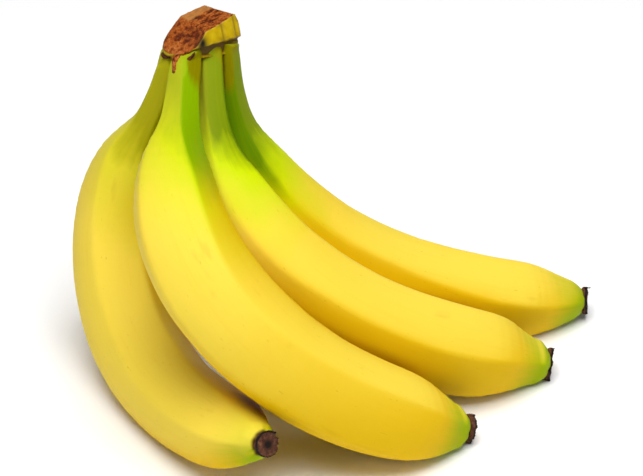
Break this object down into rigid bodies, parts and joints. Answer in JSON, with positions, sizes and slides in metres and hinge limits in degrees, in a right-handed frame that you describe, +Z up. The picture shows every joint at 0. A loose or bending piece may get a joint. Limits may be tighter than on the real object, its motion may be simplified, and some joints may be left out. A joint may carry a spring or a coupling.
{
  "type": "banana bunch",
  "caption": "Hand of ripe curved bananas joined at a cut, dried crown, standing on the backs of its fruits.",
  "frame": {"origin": "on the floor under the middle of the bunch's bounding box", "axes": "+Z up; +X the way the fruits' tips point from the crown; the viewer stands on the -Y side and sees the fruits fan out"},
  "size_m": [0.2042, 0.1359, 0.1429],
  "materials": {
    "peel": "waxy yellow peel, satin",
    "dried_crown": "dried fibrous cut, matte",
    "dried_blossom": "dried, near black, matte"
  },
  "bodies": {
    "root": {"crown": "dried_crown", "banana_left": "peel", "banana_front": "peel", "banana_middle": "peel", "banana_right": "peel", "blossom_end_left": "dried_blossom", "blossom_end_front": "dried_blossom", "blossom_end_middle": "dried_blossom", "blossom_end_right": "dried_blossom"}
  },
  "joints": []
}
